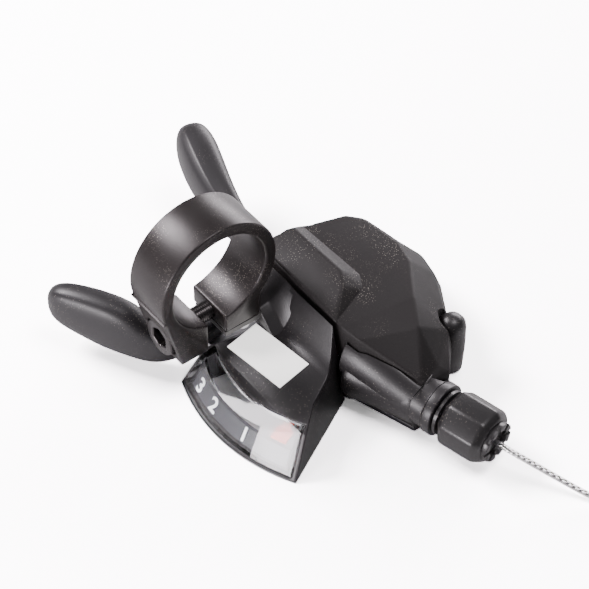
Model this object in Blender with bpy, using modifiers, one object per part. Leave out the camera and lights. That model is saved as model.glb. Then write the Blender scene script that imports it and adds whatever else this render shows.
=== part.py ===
"""Left-hand bicycle thumb shifter with a gear display, as an assembly. Metres, +Z up, lying on a table.

+X runs along the handlebar, inboard; +Y points forward, away from the rider. Lengths below are in mm.
"""

import math

import bmesh
import bpy
from mathutils import Matrix, Vector

MM = 0.001

# Where the design's zero (clamp band mid-plane, handlebar axis, table) lies from the frame's origin.
SHIFT_X, SHIFT_Y = -6.98745, -13.0895

# Handlebar clamp
BAR_RADIUS = 11.1  # 22.2 mm handlebar
BAND_RADIUS = 13.8
BAND_HALF_WIDTH = 5.5
BAR_HEIGHT = 30.0
BOLT_HEIGHT = 16.7
BOLT_RADIUS = 1.9
BOLT_HEAD_RADIUS = 4.1
FOOT_SCREW_Y = 6.6

# Mechanism axis
AXLE_X, AXLE_Y = 15.5, 31.0
AXLE_RADIUS = 2.9
MECHANISM_RADIUS = 12.3
PITCH_RADIUS = 10.8
WIRE_RADIUS = 0.6
WIRE_HEIGHT = 7.2
CABLE_HEADING = math.radians(12.8)

# Cable outlet
COLLAR_AT = (40.8, 25.7, WIRE_HEIGHT)
COLLAR_RADIUS = 5.65
BARREL_RADIUS = 6.2
BARREL_SIDES = 8

# Gear display, whose window is part of a cone about the main axle
WINDOW_RADIUS = 40.8
WINDOW_SLOPE = math.radians(60)
WINDOW_START, WINDOW_END = math.radians(-22.5), math.radians(29.0)
PANEL_SLOPE = math.radians(27.3)
PANEL_EDGE = (-3.0, 8.05)  # y and z of a point on the slope beside the window
PANEL_PROFILE = (
    (-0.6, 9.29), (11.0, 10.37), (12.0, 10.85), (12.9, 11.65), (13.7, 12.75), (14.4, 14.05), (15.1, 15.55),
    (15.9, 17.3), (16.9, 19.6),
)
LABEL_AT = (12.3, 6.2, 9.93)
LABEL_SLOPE, LABEL_TURN = math.radians(5.3), math.radians(6.1)
NEEDLE_REST = math.radians(19.6)
# Radius, height, half width and set-back in degrees along the needle's arm
NEEDLE_ARM = (
    (3.4, 9.2, 1.6, 7), (16.5, 9.2, 1.0, 7), (22.0, 7.2, 1.0, 4.5), (32.8, 5.3, 1.0, 0), (33.2, 5.15, 1.7, 0),
    (36.0, 5.1, 1.7, 0),
)

SEAM = 9.5
GAP = 0.3
WALL = 1.6

# Plan outline of the main housing, anticlockwise from beside the cable outlet
BODY = (
    (39.5, 30.5), (32.5, 37.2), (27.0, 41.0), (19.5, 45.6), (14.0, 47.3), (4.0, 47.0), (-4.0, 42.0),
    (-8.0, 34.0), (-8.5, 26.0), (-7.8, 19.5), (-4.0, 16.9), (8.0, 16.9), (21.5, 17.0), (26.0, 17.9),
    (39.5, 22.0),
)
# The same corners higher up on the top cover, with their heights
SHOULDER = (
    (39.9, 30.4, 12.2), (32.2, 36.4, 14.0), (26.8, 39.8, 14.0), (18.6, 44.3, 14.0), (13.0, 45.6, 14.0),
    (3.0, 43.8, 14.0), (-4.5, 40.5, 14.0), (-7.5, 33.0, 14.0), (-8.0, 26.0, 14.0), (-7.2, 20.0, 14.0),
    (-4.0, 17.0, 14.0), (8.0, 17.0, 14.0), (21.8, 17.2, 14.0), (26.2, 18.1, 14.0), (39.3, 22.6, 11.0),
)
CROWN = (
    (37.6, 29.0, 13.6), (31.0, 29.2, 19.2), (25.0, 33.2, 20.0), (16.9, 39.0, 20.0), (11.5, 40.4, 20.0),
    (2.0, 39.2, 20.0), (-1.1, 36.6, 20.0), (-3.2, 30.0, 20.0), (-5.0, 26.5, 20.0), (-5.5, 21.0, 20.0),
    (-3.6, 17.8, 19.2), (8.0, 17.6, 19.0), (21.5, 17.6, 18.9), (25.6, 18.3, 18.3), (38.8, 24.2, 12.9),
)
LOGO_LOW = ((20.6, 17.2), (17.4, 28.2), (14.0, 30.4), (-4.2, 30.2), (-5.8, 26.0), (-5.6, 18.2))
LOGO_HIGH = (
    (19.0, 17.6, 19.5), (15.8, 24.6, 21.4), (12.6, 27.0, 22.2), (-3.4, 26.9, 22.2), (-4.4, 24.6, 21.6),
    (-4.0, 18.0, 19.7),
)

# Lever centre lines: x, y, z, half thickness, half height, heading in degrees
THUMB_PAD = (
    (-26.6, -20.2, 11.3, 1.0, 2.2, 32), (-25.0, -19.4, 11.2, 2.8, 4.7, 32), (-21.0, -17.0, 11.0, 3.4, 5.9, 31),
    (-15.0, -13.6, 10.2, 3.8, 6.9, 30), (-9.8, -10.7, 9.7, 3.7, 6.6, 29), (-5.3, -7.9, 6.8, 3.1, 4.1, 42),
    (-4.0, -2.2, 6.4, 2.7, 3.4, 84), (-4.3, 4.5, 5.6, 2.5, 2.6, 96), (-4.6, 7.5, 5.2, 1.8, 1.8, 98),
)
RELEASE_PAD = (
    (-42.7, 27.3, 17.9, 1.2, 2.0, -16), (-41.0, 26.7, 17.8, 3.7, 4.6, -16), (-36.4, 25.2, 17.4, 4.5, 5.8, -18),
    (-30.3, 23.1, 16.8, 4.3, 5.6, -17), (-22.9, 21.2, 15.7, 3.6, 4.9, -12), (-16.1, 20.6, 14.4, 2.9, 3.6, 0),
    (-10.5, 21.8, 12.8, 2.4, 1.9, 16), (-6.5, 24.0, 11.9, 2.3, 0.9, 34), (-3.2, 26.6, 11.6, 2.5, 0.75, 40),
    (1.2, 30.0, 11.6, 2.4, 0.75, 38),
)
RELEASE_PIVOT = (-0.6, 28.9)

# Free end of the inner wire: from the adjuster to the coil, on the table
WIRE_ROUTE = (
    (56.6, 29.3, 7.2), (58.4, 29.7, 7.1), (61.2, 31.0, 6.3), (64.2, 32.7, 5.0), (67.6, 34.7, 3.5),
    (71.2, 36.7, 2.1), (75.0, 38.6, 1.15), (79.0, 40.1, 0.72), (82.6, 40.8, 0.64), (86.2, 40.6, 0.64),
    (89.8, 39.4, 0.64), (93.7, 37.2, 0.64),
)
COIL_AT = (106.5, 55.5)
COIL_RADIUS = 19.0
COIL_HALF = 2.6
HOLDING_PIVOT = (5.0, 38.8)
BRACKET_SCREWS = (-3.3, 3.3)
SCREW_SPOTS = ((-2.2, 41.4), (33.2, 31.2), (23.6, 18.9))

parts = None
cutters = None
frame = None


def clear_scene():
    for item in list(bpy.data.objects):
        bpy.data.objects.remove(item, do_unlink=True)


def make_collections():
    global parts, cutters, frame
    parts = bpy.data.collections.new("thumb_shifter")
    cutters = bpy.data.collections.new("cutters")
    for group in (parts, cutters):
        bpy.context.scene.collection.children.link(group)
    frame = bpy.data.objects.new("design_zero", None)
    frame.location = (SHIFT_X * MM, SHIFT_Y * MM, 0)
    parts.objects.link(frame)


def finish(name):
    """A Principled material by name: black plastic, satin metal and so on."""
    looks = {
        "black_anodised": ((0.030, 0.029, 0.032), 0.35, 0.8),
        "steel": ((0.55, 0.55, 0.56), 0.35, 1.0),
        "dark_steel": ((0.09, 0.09, 0.095), 0.40, 1.0),
        "matte_black": ((0.018, 0.017, 0.018), 0.60, 0.0),
        "satin_black": ((0.025, 0.024, 0.026), 0.38, 0.0),
        "clear": ((0.80, 0.82, 0.84), 0.05, 0.0),
        "dial_black": ((0.04, 0.04, 0.05), 0.50, 0.0),
        "orange": ((0.90, 0.16, 0.04), 0.45, 0.0),
        "white_label": ((0.90, 0.90, 0.86), 0.60, 0.0),
        "nylon": ((0.70, 0.70, 0.66), 0.50, 0.0),
        "spring_steel": ((0.62, 0.62, 0.64), 0.30, 1.0),
    }
    material = bpy.data.materials.get(name)
    if material is None:
        colour, roughness, metallic = looks[name]
        material = bpy.data.materials.new(name)
        material.use_nodes = True
        shader = material.node_tree.nodes["Principled BSDF"]
        shader.inputs["Base Color"].default_value = (*colour, 1)
        shader.inputs["Roughness"].default_value = roughness
        shader.inputs["Metallic"].default_value = metallic
    return material


def put(name, mesh, look):
    """Adds a mesh as a part, or as a hidden cutter where look is None."""
    item = bpy.data.objects.new(name, mesh)
    item.parent = frame
    if look is None:
        cutters.objects.link(item)
        item.hide_render = True
        item.display_type = "WIRE"
    else:
        parts.objects.link(item)
        mesh.materials.append(finish(look))
        mesh.shade_smooth()
        mesh.set_sharp_from_angle(angle=math.radians(35))
    return item


def from_bmesh(name, shape, look, origin=(0, 0, 0)):
    """Turns a bmesh in design mm into an object whose origin is at a point of the design."""
    bmesh.ops.recalc_face_normals(shape, faces=shape.faces)
    if shape.calc_volume(signed=True) < 0:
        bmesh.ops.reverse_faces(shape, faces=shape.faces)
    shape.transform(Matrix.Scale(MM, 4) @ Matrix.Translation(-Vector(origin)))
    mesh = bpy.data.meshes.new(name)
    shape.to_mesh(mesh)
    shape.free()
    item = put(name, mesh, look)
    item.location = Vector(origin) * MM
    return item


def block(name, low, high, look=None, origin=(0, 0, 0)):
    shape = bmesh.new()
    bmesh.ops.create_cube(shape, size=1)
    size = [b - a for a, b in zip(low, high)]
    middle = [(a + b) / 2 for a, b in zip(low, high)]
    shape.transform(Matrix.Translation(middle) @ Matrix.Diagonal((*size, 1)))
    return from_bmesh(name, shape, look, origin)


def rod(name, radius, start, end, look=None, sides=28, end_radius=None, origin=(0, 0, 0), turn=0.0):
    """A cylinder or cone between two points."""
    start, end = Vector(start), Vector(end)
    along = end - start
    shape = bmesh.new()
    bmesh.ops.create_cone(
        shape, cap_ends=True, segments=sides, radius1=radius,
        radius2=radius if end_radius is None else end_radius, depth=along.length,
    )
    aim = Vector((0, 0, 1)).rotation_difference(along).to_matrix().to_4x4()
    shape.transform(Matrix.Translation((start + end) / 2) @ aim @ Matrix.Rotation(turn, 4, "Z"))
    return from_bmesh(name, shape, look, origin)


def plate(name, outline, low, high, look=None, origin=(0, 0, 0)):
    """A flat outline extruded between two heights, from a filled 2D curve."""
    curve = bpy.data.curves.new(name + "_outline", "CURVE")
    curve.dimensions = "2D"
    curve.fill_mode = "BOTH"
    curve.extrude = (high - low) / 2
    spline = curve.splines.new("POLY")
    spline.points.add(len(outline) - 1)
    for point, (x, y) in zip(spline.points, outline):
        point.co = (x, y, 0, 1)
    spline.use_cyclic_u = True
    guide = bpy.data.objects.new(name + "_guide", curve)
    bpy.context.scene.collection.objects.link(guide)
    graph = bpy.context.evaluated_depsgraph_get()
    mesh = bpy.data.meshes.new_from_object(guide.evaluated_get(graph))
    bpy.data.objects.remove(guide)
    shape = bmesh.new()
    shape.from_mesh(mesh)
    bmesh.ops.remove_doubles(shape, verts=shape.verts, dist=0.001)
    shape.transform(Matrix.Translation((0, 0, (low + high) / 2)))
    return from_bmesh(name, shape, look, origin)


def loft(name, rings, look=None, origin=(0, 0, 0)):
    """A closed solid through rings of equally many points."""
    shape = bmesh.new()
    rows = [[shape.verts.new(point) for point in ring] for ring in rings]
    for first, second in zip(rows, rows[1:]):
        for i in range(len(first)):
            j = (i + 1) % len(first)
            shape.faces.new((first[i], first[j], second[j], second[i]))
    shape.faces.new(rows[0])
    shape.faces.new(rows[-1])
    bmesh.ops.triangulate(shape, faces=[f for f in shape.faces if len(f.verts) > 4])
    return from_bmesh(name, shape, look, origin)


def swept(name, profile, start, end, look=None, steps=18, origin=(0, 0, 0)):
    """Spins a radius-height profile about the main axle, between two angles from the rider's side."""
    shape = bmesh.new()
    corners = [
        shape.verts.new((AXLE_X + r * math.sin(start), AXLE_Y - r * math.cos(start), z)) for r, z in profile
    ]
    face = shape.faces.new(corners)
    bmesh.ops.spin(
        shape, geom=[face, *corners, *face.edges], cent=(AXLE_X, AXLE_Y, 0), axis=(0, 0, 1),
        angle=end - start, steps=steps,
    )
    return from_bmesh(name, shape, look, origin)


def turned(name, profile, centre, look, steps=28):
    """A radius-height profile turned about a vertical axis with a Screw; the profile runs top to bottom."""
    mesh = bpy.data.meshes.new(name)
    points = [(r * MM, 0, z * MM) for r, z in profile]
    edges = [(i, (i + 1) % len(points)) for i in range(len(points))]
    mesh.from_pydata(points, edges, [])
    item = put(name, mesh, look)
    item.location = (centre[0] * MM, centre[1] * MM, centre[2] * MM)
    screw = item.modifiers.new("turn", "SCREW")
    screw.steps = screw.render_steps = steps
    screw.use_merge_vertices = True
    screw.merge_threshold = 0.00001
    return item


# Shells whose many close cuts the exact solver leaves open
MANIFOLD_PARTS = ("main_housing", "top_cover", "indicator_housing", "adjuster_barrel")


def combine(item, tool, operation="DIFFERENCE"):
    boolean = item.modifiers.new(tool.name, "BOOLEAN")
    boolean.operation = operation
    boolean.solver = "MANIFOLD" if item.name in MANIFOLD_PARTS else "EXACT"
    boolean.object = tool
    return item


def circle(x, y, radius, count=32, start=0.0, end=2 * math.pi):
    whole = end - start > 6.28
    steps = count if whole else count - 1
    return [
        (x + radius * math.cos(start + (end - start) * i / steps),
         y + radius * math.sin(start + (end - start) * i / steps))
        for i in range(count)
    ]


def ring_plate(name, centre, inner, outer, low, high, look):
    """A flat washer, drum or spring coil."""
    profile = ((outer, high), (outer, low), (inner, low), (inner, high))
    x, y = centre
    item = turned(name, [(r, z) for r, z in profile], (x, y, 0), look)
    return item


def along_cable(distance, radius=0.0, angle=0.0):
    """A point on the cable's line, by its distance from the collar, or on a circle about it."""
    direction = Vector((math.cos(CABLE_HEADING), math.sin(CABLE_HEADING), 0))
    side = Vector((-direction.y, direction.x, 0))
    return (
        Vector(COLLAR_AT) + direction * distance + side * radius * math.cos(angle)
        + Vector((0, 0, 1)) * radius * math.sin(angle)
    )


def blade(section, count=12, power=0.75):
    """One rounded cross-section of a lever, upright and square to its heading."""
    x, y, z, thick, high, heading = section
    side = Vector((-math.sin(math.radians(heading)), math.cos(math.radians(heading)), 0))
    ring = []
    for i in range(count):
        turn = 2 * math.pi * i / count
        c, s = math.cos(turn), math.sin(turn)
        across = math.copysign(abs(c) ** power, c) * thick
        upward = math.copysign(abs(s) ** power, s) * high
        ring.append(Vector((x, y, z)) + side * across + Vector((0, 0, upward)))
    return ring


def smooth(item, levels=1):
    surface = item.modifiers.new("smooth", "SUBSURF")
    surface.levels = surface.render_levels = levels
    return item


def clamp_band():
    """Split ring round the handlebar, with the bolt's ear on the rider's side and a foot on the main plate."""
    w = BAND_HALF_WIDTH
    band = rod("clamp_band", BAND_RADIUS, (-w, 0, BAR_HEIGHT), (w, 0, BAR_HEIGHT), "black_anodised", 56)
    ear = ((-13.2, 26.0), (-9.8, 12.0), (-3.2, 12.0), (-3.2, 20.0))
    foot = ((1.0, 20.0), (1.0, 14.4), (9.6, 14.4), (9.6, 21.0))
    for name, corners in (("ear", ear), ("foot", foot)):
        rings = [[(x, y, z) for y, z in corners] for x in (-w, w)]
        combine(band, loft(name + "_block", rings), "UNION")
    combine(band, rod("bar_bore", BAR_RADIUS, (-9, 0, BAR_HEIGHT), (9, 0, BAR_HEIGHT), None, 56))
    combine(band, block("band_gap", (-9, -3.2, 8.0), (9, 1.0, 24.0)))
    combine(band, rod("bolt_hole", BOLT_RADIUS + 0.2, (0, -20, BOLT_HEIGHT), (0, 14, BOLT_HEIGHT)))
    combine(band, rod("head_recess", BOLT_HEAD_RADIUS + 0.3, (0, -20, BOLT_HEIGHT), (0, -7.8, BOLT_HEIGHT)))
    for i, x in enumerate(BRACKET_SCREWS):
        combine(band, rod(f"foot_thread_{i}", 1.1, (x, FOOT_SCREW_Y, 12), (x, FOOT_SCREW_Y, 17.6), None, 20))
    return band


def clamp_bolt():
    """Cap screw with a hexagon socket, drawing the ear to the foot."""
    head = (0, -11.4, BOLT_HEIGHT)
    bolt = rod("clamp_bolt", BOLT_HEAD_RADIUS, head, (0, -8.1, BOLT_HEIGHT), "dark_steel", 48)
    shank = rod("bolt_shank", BOLT_RADIUS, (0, -9, BOLT_HEIGHT), (0, 9.2, BOLT_HEIGHT), None, 32)
    combine(bolt, shank, "UNION")
    return combine(bolt, rod("hex_socket", 2.3, (0, -13, BOLT_HEIGHT), (0, -9.2, BOLT_HEIGHT), None, 6))


def screw_up(name, x, y, low, high, head_radius=2.0, shank_radius=1.1, head_height=0.9, look="steel"):
    """A small screw driven upwards, with a cross recess."""
    item = rod(name, head_radius, (x, y, low), (x, y, low + head_height), look, 24)
    combine(item, rod(name + "_shank", shank_radius, (x, y, low + 0.3), (x, y, high), None, 20), "UNION")
    arm = head_radius * 0.6
    for i, (a, b) in enumerate(((arm, 0.25), (0.25, arm))):
        slot = block(f"{name}_slot_{i}", (x - a, y - b, low - 1), (x + a, y + b, low + 0.45))
        combine(item, slot)
    return item


def main_plate():
    """Steel plate that carries the axle and reaches out under the clamp band."""
    outline = circle(AXLE_X, AXLE_Y, 9.9, 20, math.radians(-60), math.radians(120))
    outline += [(6.6, 40.9), (3.6, 40.6), (2.6, 38.0), (-3.2, 33.4), (-4.4, 26.5), (-5.0, 14.0), (-5.0, 1.2)]
    outline += [(5.2, 1.2), (5.6, 17.2), (9.2, 21.4)]
    item = plate("main_plate", outline, 12.9, 14.1, "steel")
    combine(item, rod("plate_axle_hole", AXLE_RADIUS + 0.2, (AXLE_X, AXLE_Y, 12), (AXLE_X, AXLE_Y, 16)))
    combine(item, rod("plate_pivot_hole", 1.45, (*RELEASE_PIVOT, 12), (*RELEASE_PIVOT, 16), None, 24))
    combine(item, rod("plate_pawl_hole", 1.25, (*HOLDING_PIVOT, 12), (*HOLDING_PIVOT, 16), None, 20))
    for i, x in enumerate(BRACKET_SCREWS):
        combine(item, rod(f"plate_screw_hole_{i}", 1.2, (x, FOOT_SCREW_Y, 12), (x, FOOT_SCREW_Y, 16), None, 20))
    return item


def body_prism(name, inset, low, high, look=None):
    """The housing's plan outline, drawn in by an inset, as a prism."""
    middle = Vector((15.5, 31.0))
    outline = []
    for x, y in BODY:
        inward = middle - Vector((x, y))
        outline.append(tuple(Vector((x, y)) + inward.normalized() * inset))
    return plate(name, outline, low, high, look)


def cover_rings(inset, drop, base):
    rings = []
    foot = [(x, y, base) for x, y in BODY]
    for ring in (foot, SHOULDER, CROWN):
        row = []
        for x, y, z in ring:
            inward = Vector((15.5 - x, 31.0 - y)).normalized() * inset
            row.append((x + inward.x, y + inward.y, z - (drop if ring is not foot else 0)))
        rings.append(row)
    return rings


def outlet_boss(name, grow, look=None):
    """The fairing that narrows from the housing to the cable collar."""
    rings = []
    for distance, up, aside, wide, high in (
        (-19, 3.4, 1.0, 7.6, 7.4), (-14, 3.0, 0.8, 7.3, 7.2), (-8, 1.7, 0.4, 6.4, 6.5), (-3, 0.5, 0.1, 5.5, 5.5),
        (0.9, 0, 0, 5.3, 5.3),
    ):
        centre = along_cable(distance) + Vector((0, 0, up))
        side = Vector((-math.sin(CABLE_HEADING), math.cos(CABLE_HEADING), 0))
        ring = []
        for i in range(28):
            turn = 2 * math.pi * i / 28
            ring.append(
                centre + side * (aside + (wide + grow) * math.cos(turn))
                + Vector((0, 0, (high + grow) * math.sin(turn)))
            )
        rings.append(ring)
    return loft(name, rings, look)


def main_housing():
    """Open-bottomed housing wall with the cable outlet, slotted for the thumb lever."""
    item = body_prism("main_housing", 0, 1.6, SEAM, "satin_black")
    combine(item, outlet_boss("outlet_boss", 0), "UNION")
    collar = rod("collar", COLLAR_RADIUS, along_cable(0.5), along_cable(2.6), None, 40)
    combine(item, collar, "UNION")
    for i, (x, y) in enumerate(SCREW_SPOTS):
        combine(item, rod(f"screw_post_{i}", 2.4, (x, y, 1.6), (x, y, SEAM), None, 20), "UNION")
    room = body_prism("housing_room", WALL, -1, 20)
    for i, (x, y) in enumerate(SCREW_SPOTS):
        combine(room, rod(f"post_keep_{i}", 2.4, (x, y, -2), (x, y, 21), None, 20))
    combine(room, block("outlet_keep", (28.5, 10, -2), (60, 40, 21)))
    combine(item, room)
    tall = rod("mechanism_room", MECHANISM_RADIUS, (AXLE_X, AXLE_Y, -1), (AXLE_X, AXLE_Y, 25), None, 64)
    combine(item, tall)
    cap = cover_solid("cover_room", -GAP, -GAP, SEAM)
    combine(item, cap)
    combine(item, rod("wire_channel", 1.3, along_cable(-26), along_cable(6), None, 20))
    combine(item, rod("neck_socket", 3.7, along_cable(-1.0), along_cable(6), None, 32))
    combine(item, block("needle_window", (7.0, 14.0, 7.9), (21.6, 19.6, 12)))
    combine(item, block("thumb_slot", (-14, 5, 0), (3, 38, 5.2)))
    for i, (x, y) in enumerate(SCREW_SPOTS):
        combine(item, rod(f"screw_hole_{i}", 1.3, (x, y, 0), (x, y, 8.2), None, 20))
    return combine(item, rod("cap_notch", 3.2, (30.3, 39.0, -2), (30.3, 39.0, 18), None, 32))


def cover_solid(name, inset, drop, base, look=None):
    return loft(name, cover_rings(inset, drop, base), look)


def top_cover():
    """Matte cover with a raised panel, hollow underneath."""
    item = cover_solid("top_cover", 0, 0, SEAM + GAP, "matte_black")
    low = [(x, y, 15.0) for x, y in LOGO_LOW]
    middle = [(x, y, 18.6) for x, y in LOGO_LOW]
    combine(item, loft("raised_panel", (low, middle, LOGO_HIGH)), "UNION")
    combine(item, cover_solid("cover_hollow", WALL, WALL, SEAM - 3))
    combine(item, block("plate_passage", (-6.2, 12, 12.5), (7.0, 21, 14.5)))
    combine(item, block("release_passage", (-14, 16.0, 8), (-3.4, 33.5, 16.6)))
    return combine(item, rod("cover_cap_notch", 3.2, (30.3, 39.0, -2), (30.3, 39.0, 15.6), None, 32))


def bottom_cover():
    """Flat lower cover, which the shifter lies on."""
    item = body_prism("bottom_cover", 0.2, 0.0, 1.3, "satin_black")
    combine(item, rod("axle_head_hole", 7.4, (AXLE_X, AXLE_Y, -1), (AXLE_X, AXLE_Y, 3), None, 48))
    for i, (x, y) in enumerate(SCREW_SPOTS):
        combine(item, rod(f"bottom_hole_{i}", 1.3, (x, y, -1), (x, y, 3), None, 20))
        combine(item, rod(f"bottom_counterbore_{i}", 2.4, (x, y, -1), (x, y, 0.85), None, 24))
    return combine(item, rod("bottom_cap_notch", 3.2, (30.3, 39.0, -2), (30.3, 39.0, 3), None, 32))


def cone_radius(z, grow=0.0):
    """Radius of the window's cone at a height."""
    return WINDOW_RADIUS - z / math.tan(WINDOW_SLOPE) + grow


def above_panel(name, lower=0.0):
    """Everything above the panel: a slope by the window, a nearly level floor and a sweep up to the cover."""
    y, z = PANEL_EDGE
    bend = PANEL_PROFILE[0]
    profile = [(y - 50, z - 50 * math.tan(PANEL_SLOPE)), *PANEL_PROFILE, (50, 60), (y - 50, 60)]
    assert abs(bend[1] - z - (bend[0] - y) * math.tan(PANEL_SLOPE)) < 0.05
    rings = [[(x, py, pz - lower) for py, pz in profile] for x in (-35, 75)]
    return loft(name, rings)


def window_block(name, grow, inner, low, look=None, top_lower=0.0):
    """The sector of the cone that the lens fills, cut off by the panel."""
    spread = grow / 40
    profile = (
        (inner, low), (cone_radius(low, grow), low), (cone_radius(11.4, grow), 11.4), (inner, 11.4),
    )
    start, end = WINDOW_START + math.radians(1.2) - spread, WINDOW_END - math.radians(2.2) + spread
    item = swept(name, profile, start, end, look)
    return combine(item, above_panel(name + "_top", top_lower))


def indicator_housing():
    """Fan-shaped panel with a hollow underside and an arched opening for the lens."""
    low, high = [], []
    for i in range(17):
        angle = WINDOW_START + (WINDOW_END - WINDOW_START) * i / 16
        for ring, z in ((low, 0.0), (high, 20.0)):
            r = cone_radius(z)
            ring.append((AXLE_X + r * math.sin(angle), AXLE_Y - r * math.cos(angle), z))
    for ring, z in ((low, 0.0), (high, 20.0)):
        ring += [(24.4 if ring is low else 19.8, 16.5, z), (6.4, 16.5, z), (6.4, 8.0, z), (4.2, 5.2, z)]
    item = loft("indicator_housing", (low, high), "satin_black")
    combine(item, above_panel("panel_top"))
    combine(item, window_block("lens_opening", 0.3, 33.2, 0.75))
    room_low = [(2.8, -4.4), (9, -6.3), (17, -7.0), (25, -6.0), (31.4, -3.4), (23.4, 14.9), (7.6, 14.9),
                (7.6, 8.6), (5.4, 5.6)]
    room_high = [(x - 5.0 if x > 20 and y > 10 else x, y) for x, y in room_low]
    room = loft("display_room", ([(x, y, -2.0) for x, y in room_low], [(x, y, 20.0) for x, y in room_high]))
    combine(room, above_panel("display_room_top", 1.7))
    combine(item, room)
    combine(item, block("needle_passage", (7.6, 14, 4), (21.0, 18, 11)))
    return item


def indicator_lens():
    item = window_block("indicator_lens", 0.0, 33.5, 1.05, "clear")
    return combine(item, window_block("lens_hollow", -1.1, 30.0, -2.0, None, 1.1))


def dial_strip():
    """Dark curved strip behind the lens that carries the gear numbers."""
    profile = (
        (cone_radius(1.2, -1.6), 1.2), (cone_radius(4.5, -1.6), 4.5), (cone_radius(4.5, -2.3), 4.5),
        (cone_radius(1.2, -2.3), 1.2),
    )
    return swept("dial_strip", profile, math.radians(-19.0), math.radians(24.4), "dial_black")


def label_sticker():
    item = block("label_sticker", (-7.6, -4.0, 0.04), (7.6, 4.0, 0.19), "white_label")
    item.rotation_mode = "ZYX"
    item.rotation_euler = (LABEL_SLOPE, 0, LABEL_TURN)
    item.location = Vector(LABEL_AT) * MM
    return item


def indicator_needle():
    """Hub on the axle with an arm that drops to the window and ends in an orange flag."""
    centre = (AXLE_X, AXLE_Y, 9.2)
    item = rod(
        "indicator_needle", 6.0, (AXLE_X, AXLE_Y, 8.8), (AXLE_X, AXLE_Y, 9.6), "orange", 40, origin=centre
    )
    rings = []
    for r, z, half, back in NEEDLE_ARM:
        angle = NEEDLE_REST - math.radians(back)
        out = Vector((math.sin(angle), -math.cos(angle), 0))
        side = Vector((-out.y, out.x, 0))
        at = Vector((AXLE_X, AXLE_Y, z)) + out * r
        rings.append([
            at + side * half + Vector((0, 0, 0.3)), at - side * half + Vector((0, 0, 0.3)),
            at - side * half - Vector((0, 0, 0.3)), at + side * half - Vector((0, 0, 0.3)),
        ])
    combine(item, loft("needle_arm", rings), "UNION")
    bore = rod("needle_bore", AXLE_RADIUS + 0.1, (AXLE_X, AXLE_Y, 5), (AXLE_X, AXLE_Y, 14))
    return combine(item, bore)


def main_axle():
    """Headed axle, bottom to top through the whole mechanism."""
    profile = ((AXLE_RADIUS, 17.3), (AXLE_RADIUS, 1.4), (7.0, 1.4), (7.0, 0.1), (0, 0.1), (0, 17.3))
    return turned("main_axle", profile, (AXLE_X, AXLE_Y, 0), "steel")


def axle_nut():
    item = rod("axle_nut", 6.0, (AXLE_X, AXLE_Y, 14.4), (AXLE_X, AXLE_Y, 16.8), "steel", 6)
    return combine(item, rod("nut_bore", AXLE_RADIUS + 0.1, (AXLE_X, AXLE_Y, 14), (AXLE_X, AXLE_Y, 19)))


def cable_drum():
    """Grooved drum that winds the wire."""
    outer, groove = 11.6, PITCH_RADIUS - WIRE_RADIUS - 0.1
    profile = (
        (outer, 8.5), (outer, 8.1), (groove, 7.9), (groove, 6.5), (outer, 6.3), (outer, 5.9),
        (AXLE_RADIUS + 0.1, 5.9), (AXLE_RADIUS + 0.1, 8.5),
    )
    item = turned("cable_drum", profile, (AXLE_X, AXLE_Y, 0), "nylon")
    x, y = nipple_spot()
    return combine(item, rod("nipple_pocket", 2.1, (x, y, 4), (x, y, 12), None, 24))


def nipple_spot():
    angle = CABLE_HEADING - math.pi / 2 - math.radians(18)
    return AXLE_X + 9.4 * math.cos(angle), AXLE_Y + 9.4 * math.sin(angle)


def cable_nipple():
    x, y = nipple_spot()
    return rod("cable_nipple", 1.8, (x, y, 6.0), (x, y, 8.4), "steel", 24)


def inner_wire():
    """The wire inside the housing, from the drum's groove to the adjuster's mouth."""
    return rod("inner_wire", WIRE_RADIUS, along_cable(-22.0), along_cable(15.9), "spring_steel", 12)


def toothed(name, radius, depth, teeth, low, high, span, look):
    """A plate with a run of ratchet teeth on part of its rim, on the axle."""
    start, end = span
    outline = []
    for i in range(teeth):
        angle = start + (end - start) * i / teeth
        step = (end - start) / teeth
        for turn, r in ((0.0, radius), (0.55, radius - depth * 0.5), (0.98, radius - depth)):
            outline.append((AXLE_X + r * math.cos(angle + step * turn), AXLE_Y + r * math.sin(angle + step * turn)))
    for i in range(20):
        angle = end + (2 * math.pi - (end - start)) * i / 20
        r = radius - depth
        outline.append((AXLE_X + r * math.cos(angle), AXLE_Y + r * math.sin(angle)))
    item = plate(name, outline, low, high, look)
    bore = rod(name + "_bore", AXLE_RADIUS + 0.1, (AXLE_X, AXLE_Y, low - 2), (AXLE_X, AXLE_Y, high + 2))
    return combine(item, bore)


def pawl(name, pivot, tip, low, high, look="steel"):
    """A short pawl from its pivot to its tip."""
    px, py = pivot
    aim = math.atan2(tip[1] - py, tip[0] - px)
    outline = circle(px, py, 2.1, 14, aim + math.radians(70), aim + math.radians(290)) + [tuple(tip)]
    item = plate(name, outline, low, high, look, origin=(px, py, low))
    return combine(item, rod(name + "_bore", 1.15, (px, py, low - 2), (px, py, high + 2), None, 20))


def polar(radius, degrees):
    angle = math.radians(degrees)
    return AXLE_X + radius * math.cos(angle), AXLE_Y + radius * math.sin(angle)


def pawls():
    winding, holding = polar(11.2, 205), HOLDING_PIVOT
    pawl("winding_pawl", winding, polar(8.7, 180), 3.3, 4.5)
    rod("winding_pawl_pin", 1.0, (*winding, 3.2), (*winding, 4.7), "steel", 20)
    pawl("holding_pawl", holding, polar(10.8, 112), 9.95, 11.1)
    rod("holding_pawl_pin", 1.0, (*holding, 8.6), (*holding, 14.6), "steel", 20)
    ring_plate("pawl_spring", holding, 1.3, 2.1, 11.4, 12.6, "spring_steel")


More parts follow.
